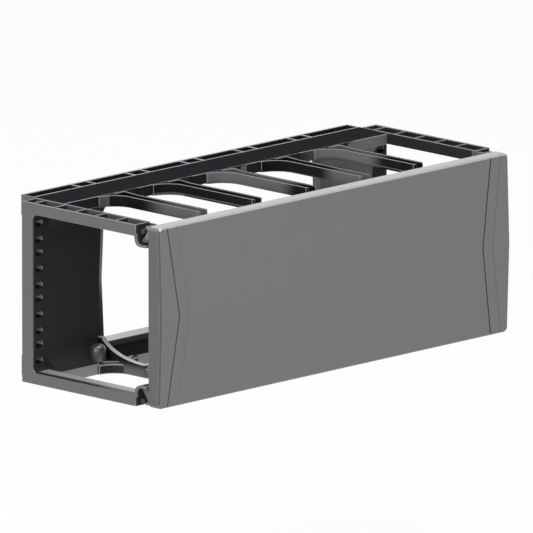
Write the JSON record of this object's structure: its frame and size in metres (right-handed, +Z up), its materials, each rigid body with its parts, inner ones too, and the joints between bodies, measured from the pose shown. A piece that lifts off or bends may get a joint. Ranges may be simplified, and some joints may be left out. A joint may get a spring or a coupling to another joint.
{
  "type": "horizontal cable manager",
  "caption": "Rack-mounted horizontal cable manager: open frame with flared fingers along both edges and a ridged front cover hinged at its top and bottom edges.",
  "frame": {"origin": "bottom centre of the whole part", "axes": "+X along the width, +Y towards the rack behind, +Z up; the cover faces -Y"},
  "size_m": [0.4826, 0.2034, 0.176],
  "materials": {
    "frame_black": "satin",
    "cover_charcoal": "satin",
    "pin_black": "satin"
  },
  "bodies": {
    "frame": {"left_end_frame": "frame_black", "right_end_frame": "frame_black", "left_rear_wing": "frame_black", "right_rear_wing": "frame_black", "top_rail": "frame_black", "bottom_rail": "frame_black", "top_finger_1": "frame_black", "top_finger_2": "frame_black", "top_finger_3": "frame_black", "top_finger_4": "frame_black", "top_finger_5": "frame_black", "bottom_finger_1": "frame_black", "bottom_finger_2": "frame_black", "bottom_finger_3": "frame_black", "bottom_finger_4": "frame_black", "bottom_finger_5": "frame_black", "upper_left_pin": "pin_black", "upper_right_pin": "pin_black"},
    "lower_pins": {"lower_left_pin": "pin_black", "lower_right_pin": "pin_black"},
    "cover": {"cover": "cover_charcoal", "upper_left_knuckle": "cover_charcoal", "upper_right_knuckle": "cover_charcoal", "lower_left_knuckle": "cover_charcoal", "lower_right_knuckle": "cover_charcoal"}
  },
  "joints": [
    {"name": "cover_drop_hinge", "type": "hinge", "parent": "frame", "child": "lower_pins", "pos_m": [0, -0.078, 0.006], "axis": [1, 0, 0], "range_deg": [0, 100]},
    {"name": "cover_lift_hinge", "type": "hinge", "parent": "lower_pins", "child": "cover", "pos_m": [0, -0.078, 0.17], "axis": [-1, 0, 0], "range_deg": [0, 100]}
  ]
}
